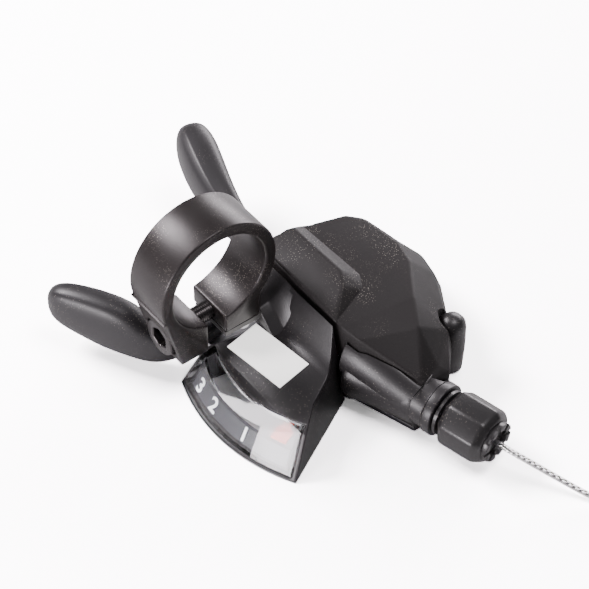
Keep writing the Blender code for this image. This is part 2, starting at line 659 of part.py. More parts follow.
def thumb_lever():
    """Steel arm on the axle and the plastic pad riveted to it."""
    hub = circle(AXLE_X, AXLE_Y, 9.6, 20, math.radians(-95), math.radians(135))
    path = [(0.5, 28.6), (-4.0, 22.0), (-7.2, 12.0), (-7.0, 2.4), (-1.6, 2.4), (-0.9, 11.0), (2.0, 17.6), (7.0, 21.4)]
    arm = plate("thumb_lever_arm", hub + path, 1.7, 2.9, "steel", origin=(AXLE_X, AXLE_Y, 0))
    bore = rod("arm_bore", AXLE_RADIUS + 0.1, (AXLE_X, AXLE_Y, 0), (AXLE_X, AXLE_Y, 5))
    combine(arm, bore)
    pad = loft("thumb_lever_pad", [blade(s) for s in THUMB_PAD], "satin_black", origin=(AXLE_X, AXLE_Y, 0))
    smooth(pad)
    combine(pad, block("pad_underside", (-12, -3, 0), (4, 16, 3.2)))
    for i, y in enumerate((3.6, 6.4)):
        spot = (-4.3, y)
        combine(arm, rod(f"arm_rivet_hole_{i}", 0.95, (*spot, 0), (*spot, 4.2), None, 20))
        combine(pad, rod(f"pad_rivet_hole_{i}", 0.95, (*spot, 0), (*spot, 5.2), None, 20))
        rivet = rod(f"lever_rivet_{i + 1}", 0.75, (*spot, 1.5), (*spot, 4.8), "steel", 20)
        combine(rivet, rod(f"rivet_head_{i}", 1.25, (*spot, 1.35), (*spot, 1.62), None, 20), "UNION")


def release_lever():
    """Index-finger lever, which pivots on its own pin under the main plate."""
    pivot = (*RELEASE_PIVOT, 12.4)
    lever = loft("release_lever", [blade(s) for s in RELEASE_PAD], "satin_black", origin=pivot)
    smooth(lever)
    hub = rod("release_hub", 3.4, (*RELEASE_PIVOT, 10.9), (*RELEASE_PIVOT, 12.5), None, 28)
    combine(lever, hub, "UNION")
    combine(lever, rod("release_bore", 1.35, (*RELEASE_PIVOT, 8), (*RELEASE_PIVOT, 18), None, 24))
    rod("release_lever_pin", 1.25, (*RELEASE_PIVOT, 8.6), (*RELEASE_PIVOT, 14.8), "steel", 24)
    ring_plate("release_lever_spring", RELEASE_PIVOT, 1.6, 2.6, 9.2, 10.6, "spring_steel")


def springs():
    ring_plate("drum_return_spring", (AXLE_X, AXLE_Y), 4.0, 8.6, 11.5, 12.6, "spring_steel")
    ring_plate("lever_return_spring", (AXLE_X, AXLE_Y), 3.4, 5.4, 4.8, 5.6, "spring_steel")


def adjuster():
    """Eight-sided barrel on a threaded neck, with a notched mouth that the wire leaves by."""
    middle = along_cable(9)
    barrel = rod(
        "adjuster_barrel", BARREL_RADIUS, along_cable(5.0), along_cable(13.2), "satin_black", BARREL_SIDES,
        origin=middle, turn=math.radians(22.5),
    )
    pieces = (
        ("barrel_root", 4.7, 3.9, BARREL_RADIUS, 5.05, BARREL_SIDES),
        ("barrel_end", BARREL_RADIUS, 13.15, 4.9, 14.6, BARREL_SIDES),
        ("barrel_neck", 3.3, -0.6, 3.3, 4.2, 32),
        ("barrel_mouth", 4.3, 14.3, 4.3, 15.6, 32),
    )
    for name, r0, s0, r1, s1, sides in pieces:
        turn = math.radians(22.5) if sides == BARREL_SIDES else 0
        tool = rod(name, r0, along_cable(s0), along_cable(s1), None, sides, end_radius=r1, turn=turn)
        combine(barrel, tool, "UNION")
    combine(barrel, rod("barrel_bore", 1.1, along_cable(-3), along_cable(18), None, 20))
    combine(barrel, rod("mouth_bore", 2.8, along_cable(14.2), along_cable(18), None, 24))
    for i in range(4):
        a = math.pi * i / 4
        low, high = along_cable(15.1, 6, a), along_cable(15.1, -6, a)
        combine(barrel, rod(f"mouth_notch_{i}", 0.45, low, high, None, 8))
    detent = rod("adjuster_spring", 4.9, along_cable(2.95), along_cable(3.6), "spring_steel", 32)
    return combine(detent, rod("detent_bore", 3.6, along_cable(1), along_cable(6), None, 32))


def access_cap():
    """Round-topped post beside the cable outlet."""
    profile = (
        (0, 14.9), (1.2, 14.7), (2.1, 14.1), (2.7, 13.2), (2.9, 12.0), (2.9, 6.0), (2.6, 0.4), (2.3, 0.0), (0, 0.0),
    )
    return turned("access_cap", profile, (30.3, 39.0, 0), "satin_black", 32)


def curve_through(points, each):
    """Points on a smooth Catmull-Rom curve through the route's own points."""
    ends = [2 * Vector(points[0]) - Vector(points[1])], [2 * Vector(points[-1]) - Vector(points[-2])]
    knots = ends[0] + [Vector(p) for p in points] + ends[1]
    found = []
    for a, b, c, d in zip(knots, knots[1:], knots[2:], knots[3:]):
        for i in range(each):
            t = i / each
            found.append(
                0.5 * (2 * b + (c - a) * t + (2 * a - 5 * b + 4 * c - d) * t * t
                       + (3 * b - a - 3 * c + d) * t ** 3)
            )
    return found + [Vector(points[-1])]


def shift_wire():
    """The free end of the inner wire, and the solid ring that its coil fills."""
    curve = bpy.data.curves.new("shift_wire", "CURVE")
    curve.dimensions = "3D"
    curve.bevel_depth = WIRE_RADIUS * MM
    curve.bevel_resolution = 2
    curve.use_fill_caps = True
    points = curve_through(WIRE_ROUTE, 2)
    spline = curve.splines.new("POLY")
    spline.points.add(len(points) - 1)
    for knot, at in zip(spline.points, points):
        knot.co = (*(at * MM), 1)
    curve.materials.append(finish("spring_steel"))
    item = bpy.data.objects.new("shift_wire", curve)
    item.parent = frame
    parts.objects.link(item)
    low, high = 0.02, 2 * COIL_HALF
    ring_plate("wire_coil", COIL_AT, COIL_RADIUS - COIL_HALF, COIL_RADIUS + COIL_HALF, low, high, "spring_steel")


def fasteners():
    for i, (x, y) in enumerate(SCREW_SPOTS):
        screw_up(f"cover_screw_{i + 1}", x, y, 0.1, 7.6, shank_radius=1.0, head_height=0.7)
    for i, x in enumerate(BRACKET_SCREWS):
        screw_up(
            f"bracket_screw_{i + 1}", x, FOOT_SCREW_Y, 11.5, 17.2, head_radius=1.5, shank_radius=0.9, head_height=1.1,
        )


def main():
    clear_scene()
    make_collections()
    clamp_band()
    clamp_bolt()
    main_plate()
    main_housing()
    top_cover()
    bottom_cover()
    indicator_housing()
    indicator_lens()
    dial_strip()
    label_sticker()
    indicator_needle()
    main_axle()
    axle_nut()
    cable_drum()
    cable_nipple()
    inner_wire()
    toothed("ratchet_plate", 8.3, 1.0, 6, 3.3, 4.5, (math.radians(120), math.radians(235)), "steel")
    toothed("position_plate", 10.4, 1.4, 3, 9.95, 11.1, (math.radians(70), math.radians(150)), "steel")
    pawls()
    thumb_lever()
    release_lever()
    springs()
    adjuster()
    access_cap()
    fasteners()
    shift_wire()


main()
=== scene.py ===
import math

import bmesh
import bpy
from mathutils import Matrix, Vector


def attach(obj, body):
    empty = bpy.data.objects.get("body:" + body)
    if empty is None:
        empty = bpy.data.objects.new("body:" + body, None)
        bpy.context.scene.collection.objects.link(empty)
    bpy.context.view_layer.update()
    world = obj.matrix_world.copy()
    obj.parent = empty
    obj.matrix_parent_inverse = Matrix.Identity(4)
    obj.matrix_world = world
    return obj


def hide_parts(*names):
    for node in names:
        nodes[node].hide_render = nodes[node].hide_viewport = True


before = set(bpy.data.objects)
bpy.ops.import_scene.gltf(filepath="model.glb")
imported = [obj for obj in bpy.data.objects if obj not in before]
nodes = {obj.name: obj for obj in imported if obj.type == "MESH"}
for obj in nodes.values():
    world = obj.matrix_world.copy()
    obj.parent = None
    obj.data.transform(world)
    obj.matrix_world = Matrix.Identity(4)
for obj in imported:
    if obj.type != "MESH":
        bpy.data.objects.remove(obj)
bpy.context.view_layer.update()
print("frame loaded:", len(nodes), "nodes")

millimetre = 0.001
designZero = Vector((-6.98745, -13.0895, 0))  # clamp mid-plane, bar axis and table, from the frame's zero
axle = Vector((15.5, 31.0, 0))
cableStart = Vector((40.8, 25.7, 7.2))
cableAngle = math.radians(12.8)


def place(x, y, z):
    return (Vector((x, y, z)) + designZero) * millimetre


def alongCable(distance, radius=0.0, angle=0.0):
    # a point by its distance from the cable outlet's face, on or around the cable's line
    along = Vector((math.cos(cableAngle), math.sin(cableAngle), 0))
    side = Vector((-along.y, along.x, 0))
    point = cableStart + along * distance + side * radius * math.cos(angle)
    return point + Vector((0, 0, radius * math.sin(angle)))


# Camera: a long lens from the rider's side, inboard and above
cameraSettings = {
    "azimuth": 51.9, "elevation": 47.6, "distance": 0.5, "lens": 149.75, "looksAt": (2.61, 20.55, 10.0),
}


def addCamera(settings):
    a, e = math.radians(settings["azimuth"]), math.radians(settings["elevation"])
    back = Vector((math.sin(a) * math.cos(e), -math.cos(a) * math.cos(e), math.sin(e)))
    lens = bpy.data.cameras.new("camera")
    lens.lens = settings["lens"]
    lens.sensor_width = 36
    lens.clip_start = 0.01
    camera = bpy.data.objects.new("camera", lens)
    camera.location = place(*settings["looksAt"]) + back * settings["distance"]
    camera.rotation_euler = back.to_track_quat("Z", "Y").to_euler()
    bpy.context.scene.collection.objects.link(camera)
    bpy.context.scene.camera = camera


addCamera(cameraSettings)
print("camera placed")


# Shader node groups, each built once and placed with its own values
def newGroup(name, inputs, outputs):
    group = bpy.data.node_groups.new(name, "ShaderNodeTree")
    for socketName, kind, value in inputs:
        socket = group.interface.new_socket(socketName, in_out="INPUT", socket_type=kind)
        socket.default_value = value
    for socketName, kind in outputs:
        group.interface.new_socket(socketName, in_out="OUTPUT", socket_type=kind)
    return group, group.nodes.new("NodeGroupInput"), group.nodes.new("NodeGroupOutput")


def node(tree, kind, links=(), **values):
    # a node with properties by name, input values by index, and links as (input, source socket)
    made = tree.nodes.new(kind)
    for key, value in values.items():
        if key.startswith("input"):
            made.inputs[int(key[5:])].default_value = value
        else:
            setattr(made, key, value)
    for socket, source in links:
        tree.links.new(source, made.inputs[socket])
    return made


def buildGrainGroup():
    # fine moulded grain for a Bump, with a slow unevenness for the gloss
    group, given, result = newGroup(
        "mouldedGrain",
        [
            ("Scale", "NodeSocketFloat", 2500.0), ("Roughness", "NodeSocketFloat", 0.4),
            ("Unevenness", "NodeSocketFloat", 0.1),
        ],
        [("Height", "NodeSocketFloat"), ("Roughness", "NodeSocketFloat")],
    )
    where = node(group, "ShaderNodeTexCoord")
    fine = node(
        group, "ShaderNodeTexNoise", [(0, where.outputs["Object"]), (2, given.outputs["Scale"])], input3=2.0,
    )
    slow = node(group, "ShaderNodeTexNoise", [(0, where.outputs["Object"])], input2=160.0, input3=4.0)
    centred = node(group, "ShaderNodeMath", [(0, slow.outputs["Fac"])], operation="SUBTRACT", input1=0.5)
    swing = node(
        group, "ShaderNodeMath", [(0, centred.outputs[0]), (1, given.outputs["Unevenness"])],
        operation="MULTIPLY",
    )
    total = node(
        group, "ShaderNodeMath", [(0, swing.outputs[0]), (1, given.outputs["Roughness"])], use_clamp=True,
    )
    group.links.new(fine.outputs["Fac"], result.inputs["Height"])
    group.links.new(total.outputs[0], result.inputs["Roughness"])
    return group


def buildDustGroup():
    # pale specks in drifts, as dust that settles on black plastic
    group, given, result = newGroup(
        "settledDust",
        [
            ("Scale", "NodeSocketFloat", 3600.0), ("Amount", "NodeSocketFloat", 0.5),
            ("Drift", "NodeSocketFloat", 90.0),
        ],
        [("Mask", "NodeSocketFloat")],
    )
    where = node(group, "ShaderNodeTexCoord")
    cells = node(group, "ShaderNodeTexVoronoi", [(0, where.outputs["Object"]), (2, given.outputs["Scale"])])
    speck = node(
        group, "ShaderNodeMapRange", [(0, cells.outputs["Distance"])],
        input1=0.10, input2=0.26, input3=1.0, input4=0.0,
    )
    pick = node(group, "ShaderNodeSeparateColor", [(0, cells.outputs["Color"])])
    some = node(
        group, "ShaderNodeMath", [(0, pick.outputs[0]), (1, given.outputs["Amount"])], operation="LESS_THAN",
    )
    drift = node(
        group, "ShaderNodeTexNoise", [(0, where.outputs["Object"]), (2, given.outputs["Drift"])], input3=3.0,
    )
    dense = node(group, "ShaderNodeMapRange", [(0, drift.outputs["Fac"])], input1=0.46, input2=0.66)
    both = node(group, "ShaderNodeMath", [(0, speck.outputs[0]), (1, some.outputs[0])], operation="MULTIPLY")
    mask = node(group, "ShaderNodeMath", [(0, both.outputs[0]), (1, dense.outputs[0])], operation="MULTIPLY")
    group.links.new(mask.outputs[0], result.inputs["Mask"])
    return group


def buildMarksGroup():
    # fine handling scratches, stretched along one direction
    group, given, result = newGroup(
        "handlingMarks",
        [("Length", "NodeSocketVector", (40.0, 900.0, 900.0)), ("Amount", "NodeSocketFloat", 0.5)],
        [("Mask", "NodeSocketFloat")],
    )
    where = node(group, "ShaderNodeTexCoord")
    stretched = node(
        group, "ShaderNodeVectorMath", [(0, where.outputs["Object"]), (1, given.outputs["Length"])],
        operation="MULTIPLY",
    )
    lines = node(group, "ShaderNodeTexNoise", [(0, stretched.outputs[0])], input2=1.0, input3=4.0)
    thin = node(group, "ShaderNodeMapRange", [(0, lines.outputs["Fac"])], input1=0.58, input2=0.72)
    mask = node(
        group, "ShaderNodeMath", [(0, thin.outputs[0]), (1, given.outputs["Amount"])], operation="MULTIPLY",
    )
    group.links.new(mask.outputs[0], result.inputs["Mask"])
    return group


grainGroup, dustGroup, marksGroup = buildGrainGroup(), buildDustGroup(), buildMarksGroup()

# One line of values for each finish. Colours are linear.
finishes = {
    "satinHousing": {
        "colour": (0.0125, 0.0112, 0.0122), "roughness": 0.4, "grain": 2600, "bump": 0.16, "uneven": 0.1,
        "dust": 0.2, "specular": 0.5,
    },
    "mattCover": {
        "colour": (0.0098, 0.0082, 0.0084), "roughness": 0.56, "grain": 3400, "bump": 0.22, "uneven": 0.1,
        "dust": 0.55, "specular": 0.27,
    },
    "leverPlastic": {
        "colour": (0.0135, 0.0122, 0.0138), "roughness": 0.43, "grain": 2200, "bump": 0.14,
        "uneven": 0.12, "dust": 0.3, "specular": 0.5,
    },
    "anodisedBand": {
        "colour": (0.02, 0.0165, 0.0165), "roughness": 0.36, "grain": 5200, "bump": 0.1, "uneven": 0.14,
        "dust": 0.75, "specular": 0.5, "metallic": 0.35,
    },
    "rubberedBarrel": {
        "colour": (0.0115, 0.0105, 0.0112), "roughness": 0.36, "grain": 3000, "bump": 0.12, "uneven": 0.1,
        "dust": 0.35, "specular": 0.5,
    },
    "darkScrew": {
        "colour": (0.075, 0.07, 0.07), "roughness": 0.3, "grain": 4200, "bump": 0.1, "uneven": 0.2,
        "dust": 0.0, "specular": 0.5, "metallic": 1.0, "marks": 0.4,
    },
    "zincPlate": {
        "colour": (0.5, 0.5, 0.52), "roughness": 0.34, "grain": 3000, "bump": 0.1, "uneven": 0.2,
        "dust": 0.0, "specular": 0.5, "metallic": 1.0, "marks": 0.5,
    },
    "greyPlate": {
        "colour": (0.085, 0.083, 0.082), "roughness": 0.42, "grain": 3000, "bump": 0.12, "uneven": 0.2,
        "dust": 0.0, "specular": 0.5, "metallic": 0.4, "marks": 0.4,
    },
    "paleNylon": {
        "colour": (0.55, 0.55, 0.5), "roughness": 0.48, "grain": 2000, "bump": 0.1, "uneven": 0.1,
        "dust": 0.1, "specular": 0.5,
    },
    "dialPrint": {
        "colour": (0.017, 0.017, 0.023), "roughness": 0.42, "grain": 3000, "bump": 0.06, "uneven": 0.08,
        "dust": 0.0, "specular": 0.5,
    },
    # the numerals and the label carry a painted glow, emission that brightens them beyond the lamps
    "numeralPaint": {
        "colour": (0.86, 0.87, 0.88), "roughness": 0.5, "grain": 4000, "bump": 0.05, "uneven": 0.05,
        "dust": 0.0, "specular": 0.4, "paintedGlow": 0.6,
    },
    "orangeNeedle": {
        "colour": (0.86, 0.085, 0.022), "roughness": 0.42, "grain": 2400, "bump": 0.06, "uneven": 0.1,
        "dust": 0.0, "specular": 0.5,
    },
    "paperLabel": {
        "colour": (0.93, 0.925, 0.9), "roughness": 0.62, "grain": 1500, "bump": 0.08, "uneven": 0.08,
        "dust": 0.0, "specular": 0.3, "paintedGlow": 1.2,
    },
}
dustColour = (0.50, 0.46, 0.40, 1)


def addFinish(name, values):
    material = bpy.data.materials.new(name)
    material.use_nodes = True
    tree = material.node_tree
    shader = tree.nodes["Principled BSDF"]
    shader.inputs["Metallic"].default_value = values.get("metallic", 0.0)
    shader.inputs["Specular IOR Level"].default_value = values["specular"]
    if "paintedGlow" in values:  # painted glow: emission makes the paper and paint brighter than the lamps light them
        shader.inputs["Emission Color"].default_value = (*values["colour"], 1)
        shader.inputs["Emission Strength"].default_value = values["paintedGlow"]
    grain = node(tree, "ShaderNodeGroup", node_tree=grainGroup)
    grain.inputs["Scale"].default_value = values["grain"]
    grain.inputs["Roughness"].default_value = values["roughness"]
    grain.inputs["Unevenness"].default_value = values["uneven"]
    bump = node(tree, "ShaderNodeBump", [("Height", grain.outputs["Height"])])
    bump.inputs["Strength"].default_value = values["bump"]
    bump.inputs["Distance"].default_value = 0.0001
    tree.links.new(bump.outputs["Normal"], shader.inputs["Normal"])
    tree.links.new(grain.outputs["Roughness"], shader.inputs["Roughness"])
    base = (*values["colour"], 1)
    shader.inputs["Base Color"].default_value = base
    if values["dust"]:
        dust = node(tree, "ShaderNodeGroup", node_tree=dustGroup)
        dust.inputs["Amount"].default_value = values["dust"]
        mix = node(tree, "ShaderNodeMix", [(0, dust.outputs["Mask"])], data_type="RGBA")
        mix.inputs[6].default_value = base
        mix.inputs[7].default_value = dustColour
        tree.links.new(mix.outputs[2], shader.inputs["Base Color"])
    elif "marks" in values:
        marks = node(tree, "ShaderNodeGroup", node_tree=marksGroup)
        marks.inputs["Amount"].default_value = values["marks"]
        mix = node(tree, "ShaderNodeMix", [(0, marks.outputs["Mask"])], data_type="RGBA")
        mix.inputs[6].default_value = base
        mix.inputs[7].default_value = [min(1.0, 1.6 * c) for c in values["colour"]] + [1]
        tree.links.new(mix.outputs[2], shader.inputs["Base Color"])
    return material


materials = {name: addFinish(name, values) for name, values in finishes.items()}


def addClearPlastic():
    material = bpy.data.materials.new("clearPlastic")
    material.use_nodes = True
    tree = material.node_tree
    shader = tree.nodes["Principled BSDF"]
    shader.inputs["Base Color"].default_value = (0.93, 0.95, 0.96, 1)
    shader.inputs["Transmission Weight"].default_value = 1.0
    shader.inputs["IOR"].default_value = 1.45
    grain = node(tree, "ShaderNodeGroup", node_tree=grainGroup)
    grain.inputs["Scale"].default_value = 500
    grain.inputs["Roughness"].default_value = 0.06
    grain.inputs["Unevenness"].default_value = 0.06
    tree.links.new(grain.outputs["Roughness"], shader.inputs["Roughness"])
    clear = node(tree, "ShaderNodeBsdfTransparent")
    path = node(tree, "ShaderNodeLightPath")  # light passes to the dial behind
    mix = node(tree, "ShaderNodeMixShader", [
        (0, path.outputs["Is Shadow Ray"]), (1, shader.outputs[0]), (2, clear.outputs[0]),
    ])
    tree.links.new(mix.outputs[0], tree.nodes["Material Output"].inputs["Surface"])
    return material


def addStrandedWire():
    # strands laid round the wire, read from the curve's own length and girth, with painted shade in the
    # grooves between them
    material = bpy.data.materials.new("strandedWire")
    material.use_nodes = True
    tree = material.node_tree
    shader = tree.nodes["Principled BSDF"]
    shader.inputs["Metallic"].default_value = 1.0
    where = node(tree, "ShaderNodeTexCoord")
    split = node(tree, "ShaderNodeSeparateXYZ", [(0, where.outputs["UV"])])
    lengthwise, around = 2 * math.pi * 420, 2 * math.pi * 6  # turns in the wire's length, and strands
    turns = node(tree, "ShaderNodeMath", [(0, split.outputs[0])], operation="MULTIPLY", input1=lengthwise)
    girth = node(tree, "ShaderNodeMath", [(0, split.outputs[1])], operation="MULTIPLY", input1=around)
    phase = node(tree, "ShaderNodeMath", [(0, turns.outputs[0]), (1, girth.outputs[0])])
    wave = node(tree, "ShaderNodeMath", [(0, phase.outputs[0])], operation="SINE")
    height = node(tree, "ShaderNodeMapRange", [(0, wave.outputs[0])], input1=-1.0, input2=1.0)
    # painted shade: the base colour is darker in the grooves between strands and lighter on the strand crowns
    colour = node(tree, "ShaderNodeMix", [(0, height.outputs[0])], data_type="RGBA")
    colour.inputs[6].default_value = (0.66, 0.65, 0.64, 1)
    colour.inputs[7].default_value = (0.95, 0.94, 0.93, 1)
    tree.links.new(colour.outputs[2], shader.inputs["Base Color"])
    bump = node(tree, "ShaderNodeBump", [("Height", height.outputs[0])])
    bump.inputs["Strength"].default_value = 0.4
    bump.inputs["Distance"].default_value = 0.0002
    tree.links.new(bump.outputs["Normal"], shader.inputs["Normal"])
    grain = node(tree, "ShaderNodeGroup", node_tree=grainGroup)
    grain.inputs["Roughness"].default_value = 0.26
    tree.links.new(grain.outputs["Roughness"], shader.inputs["Roughness"])
    return material


materials["clearPlastic"] = addClearPlastic()
materials["strandedWire"] = addStrandedWire()
print("finishes:", len(materials))

# Free inner wire: straight out of the adjuster, down to the table, then off to its coil
wireSettings = {
    "radius": 0.6, "exit": 15.6, "length": 1.8, "perSpan": 4,
    "route": [
        (56.6, 29.3, 7.2), (58.4, 29.7, 7.1), (61.2, 31.0, 6.3), (64.2, 32.7, 5.0), (67.6, 34.7, 3.5),
        (71.2, 36.7, 2.1), (75.0, 38.6, 1.15), (79.0, 40.1, 0.72), (82.6, 40.8, 0.64), (86.2, 40.6, 0.64),
        (89.8, 39.4, 0.64), (93.7, 37.2, 0.64),
    ],
    "coilCentre": (106.5, 55.5), "coilInner": 17.02, "coilOuter": 20.95, "pitch": 1.21, "layerRise": 1.24,
    "pointsPerTurn": 36, "turns": 14.6,
    "leadIn": 7,  # how much faster than a coil's pitch the wire closes on the coil
    "climb": 6,  # a layer's rise takes one sixth of a turn
}


def smoothRoute(knots, perSpan):
    points = [Vector(k) for k in knots]
    padded = [2 * points[0] - points[1]] + points + [2 * points[-1] - points[-2]]
    found = []
    for a, b, c, d in zip(padded, padded[1:], padded[2:], padded[3:]):
        for i in range(perSpan):
            t = i / perSpan
            found.append(0.5 * (2 * b + (c - a) * t + (2 * a - 5 * b + 4 * c - d) * t * t
                                + (3 * b - a - 3 * c + d) * t ** 3))
    return found + [points[-1]]


def coilPoints(settings):
    # flat spirals, outwards and back by turns, each laid on the one below
    cx, cy = settings["coilCentre"]
    last = Vector(settings["route"][-1])
    angle = math.atan2(last.y - cy, last.x - cx)
    step = 2 * math.pi / settings["pointsPerTurn"]
    radius, height, inwards, rising = (last.xy - Vector((cx, cy))).length, last.z, True, 0.0
    found = []
    for i in range(int(settings["turns"] * settings["pointsPerTurn"])):
        angle += step
        if rising > 0:
            rise = min(rising, settings["layerRise"] * settings["climb"] / settings["pointsPerTurn"])
            height, rising = height + rise, rising - rise
        else:
            hurry = settings["leadIn"] if radius > settings["coilOuter"] else 1
            radius += (-hurry if inwards else 1) * settings["pitch"] / settings["pointsPerTurn"]
            turnBack = radius < settings["coilInner"] if inwards else radius > settings["coilOuter"]
            if turnBack:
                inwards, rising = not inwards, settings["layerRise"]
        found.append(Vector((cx + radius * math.cos(angle), cy + radius * math.sin(angle), height)))
    return found


def layWire(settings):
    points = [alongCable(settings["exit"])] + smoothRoute(settings["route"], settings["perSpan"])[1:]
    points += coilPoints(settings)
    curve = bpy.data.curves.new("innerWireFree", "CURVE")
    curve.dimensions = "3D"
    curve.bevel_depth = settings["radius"] * millimetre
    curve.bevel_resolution = 3
    curve.use_fill_caps = True
    spline = curve.splines.new("POLY")
    spline.points.add(len(points) - 1)
    for knot, at in zip(spline.points, points):
        knot.co = (*place(*at), 1)
    spline.use_smooth = True
    curve.materials.append(materials["strandedWire"])
    wire = bpy.data.objects.new("innerWireFree", curve)
    bpy.context.scene.collection.objects.link(wire)
    total = sum((b - a).length for a, b in zip(points, points[1:]))
    print(f"wire laid: {total:.0f} mm, coil top at {max(p.z for p in points):.2f} mm")
    return wire


wire = layWire(wireSettings)


# Modelling helpers
def deselectAll():
    if bpy.context.mode != "OBJECT":
        bpy.ops.object.mode_set(mode="OBJECT")
    bpy.ops.object.select_all(action="DESELECT")


def makeActive(piece):
    deselectAll()
    piece.select_set(True)
    bpy.context.view_layer.objects.active = piece


def settle(piece):
    # the piece's place goes into its mesh, and its object back to the origin
    makeActive(piece)
    bpy.ops.object.transform_apply(location=True, rotation=True, scale=True)


def newest(name):
    piece = bpy.context.object
    piece.name = piece.data.name = name
    return piece


def applyModifier(piece, kind, **values):
    makeActive(piece)
    modifier = piece.modifiers.new(kind.lower(), kind)
    for key, value in values.items():
        setattr(modifier, key, value)
    bpy.ops.object.modifier_apply(modifier=modifier.name)
    return piece


def roundEdges(piece, width, segments, angle):
    return applyModifier(
        piece, "BEVEL", width=width * millimetre, segments=segments, limit_method="ANGLE",
        angle_limit=math.radians(angle), use_clamp_overlap=False, miter_outer="MITER_ARC",
    )


def smoothFaces(piece, angle):
    makeActive(piece)
    bpy.ops.object.shade_smooth_by_angle(angle=math.radians(angle))
    return piece


def cutAway(piece, tool):
    before = len(piece.data.polygons)
    applyModifier(piece, "BOOLEAN", object=tool, operation="DIFFERENCE", solver="EXACT")
    if len(piece.data.polygons) < before / 3:
        print("check the cut of", tool.name, "from", piece.name, before, "to", len(piece.data.polygons))
    bpy.data.objects.remove(tool)
    return piece


def addRod(name, radius, start, end, sides=64):
    # a cylinder between two points given in mm
    start, end = place(*start), place(*end)
    along = end - start
    aim = Vector((0, 0, 1)).rotation_difference(along).to_matrix()
    deselectAll()
    bpy.ops.mesh.primitive_cylinder_add(
        vertices=sides, radius=radius * millimetre, depth=along.length, location=(start + end) / 2,
        rotation=aim.to_euler(),
    )
    piece = newest(name)
    settle(piece)
    return piece


def addBlock(name, low, high):
    low, high = place(*low), place(*high)
    deselectAll()
    bpy.ops.mesh.primitive_cube_add(size=1, location=(low + high) / 2, scale=high - low)
    piece = newest(name)
    settle(piece)
    return piece


def setRing(piece, ring):
    shape = bmesh.from_edit_mesh(piece.data)
    face = next(f for f in shape.faces if f.select)
    for corner, spot in zip(face.verts, ring):
        corner.co = place(*spot)
    bmesh.update_edit_mesh(piece.data)


def extrudeRings(name, rings):
    # a filled circle takes the first ring's shape and is extruded from ring to ring
    deselectAll()
    bpy.ops.mesh.primitive_circle_add(vertices=len(rings[0]), radius=0.01, fill_type="NGON")
    piece = newest(name)
    bpy.ops.object.mode_set(mode="EDIT")
    setRing(piece, rings[0])
    for ring in rings[1:]:
        bpy.ops.mesh.extrude_region_move()
        setRing(piece, ring)
    bpy.ops.mesh.select_all(action="SELECT")
    bpy.ops.mesh.normals_make_consistent(inside=False)
    bpy.ops.object.mode_set(mode="OBJECT")
    return piece


def copyOfNode(name, source, flat=0.8):
    # a CAD node's copy with its loose triangles merged into whole faces
    piece = bpy.data.objects.new(name, nodes[source].data.copy())
    piece.data.name = name
    piece.data.materials.clear()
    bpy.context.scene.collection.objects.link(piece)
    makeActive(piece)
    if piece.data.has_custom_normals:
        bpy.ops.mesh.customdata_custom_splitnormals_clear()
    bpy.ops.object.mode_set(mode="EDIT")
    bpy.ops.mesh.select_all(action="SELECT")
    bpy.ops.mesh.remove_doubles(threshold=0.000004)
    bpy.ops.mesh.dissolve_limited(angle_limit=math.radians(flat))
    bpy.ops.object.mode_set(mode="OBJECT")
    return piece


def finishPiece(piece, body, slotName, finishName, *replaced):
    piece.data.materials.clear()
    piece.data.materials.append(materials[finishName])
    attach(piece, body)
    if replaced:
        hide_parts(*replaced)
    return piece


def joinPieces(first, *others):
    makeActive(first)
    for other in others:
        other.select_set(True)
    bpy.ops.object.join()
    return first


# Clamp band: one outline round the bar, with ear and foot, extruded to the band's width
bandSettings = {
    "bore": 11.1, "outside": 13.8, "halfWidth": 5.5, "height": 30.0, "gap": (-3.2, 1.0),
    "ear": [(-3.2, 12.0), (-9.8, 12.0), (-13.2, 26.0)], "foot": [(9.6, 14.4), (1.0, 14.4)],
    "boltHeight": 16.7, "recess": 4.4, "recessTo": -7.8, "boltHole": 2.1, "edge": 0.42, "arcPoints": 72,
}
boltSettings = {
    # radii, and places along the bolt, which lies fore and aft
    "height": 16.7, "head": 4.05, "headFrom": -11.4, "headTo": -8.1, "socket": 2.35, "socketTo": -9.4,
    "edge": 0.32, "shank": 1.85, "shankFrom": -8.6, "shankTo": 9.2,
    "thread": 2.0, "threads": 9, "firstThread": -3.1, "pitch": 0.47,
}


def bandOutline(settings):
    height, bore, outside = settings["height"], settings["bore"], settings["outside"]
    left, right = settings["gap"]

    def arc(radius, start, end, count):
        return [(radius * math.cos(start + (end - start) * i / count),
                 height + radius * math.sin(start + (end - start) * i / count)) for i in range(count + 1)]

    earY, earZ = settings["ear"][-1]
    earAngle = math.atan2(earZ - height, earY) + 2 * math.pi
    footAngle = -math.acos(settings["foot"][0][0] / outside)
    outer = arc(outside, earAngle, footAngle, settings["arcPoints"])
    inner = arc(bore, -math.acos(right / bore), math.pi + math.acos(-left / bore), settings["arcPoints"])
    return settings["ear"] + outer + settings["foot"] + inner


def addBand(settings):
    outline = bandOutline(settings)
    w, z = settings["halfWidth"], settings["boltHeight"]
    band = extrudeRings("clampBand", [[(side, y, h) for y, h in outline] for side in (-w, w)])
    cutAway(band, addRod("headRecess", settings["recess"], (0, -20, z), (0, settings["recessTo"], z)))
    cutAway(band, addRod("boltHole", settings["boltHole"], (0, -20, z), (0, -1, z)))
    roundEdges(band, settings["edge"], 3, 35)
    smoothFaces(band, 40)
    return finishPiece(band, "housing", "black_anodised", "anodisedBand", "clamp_band")


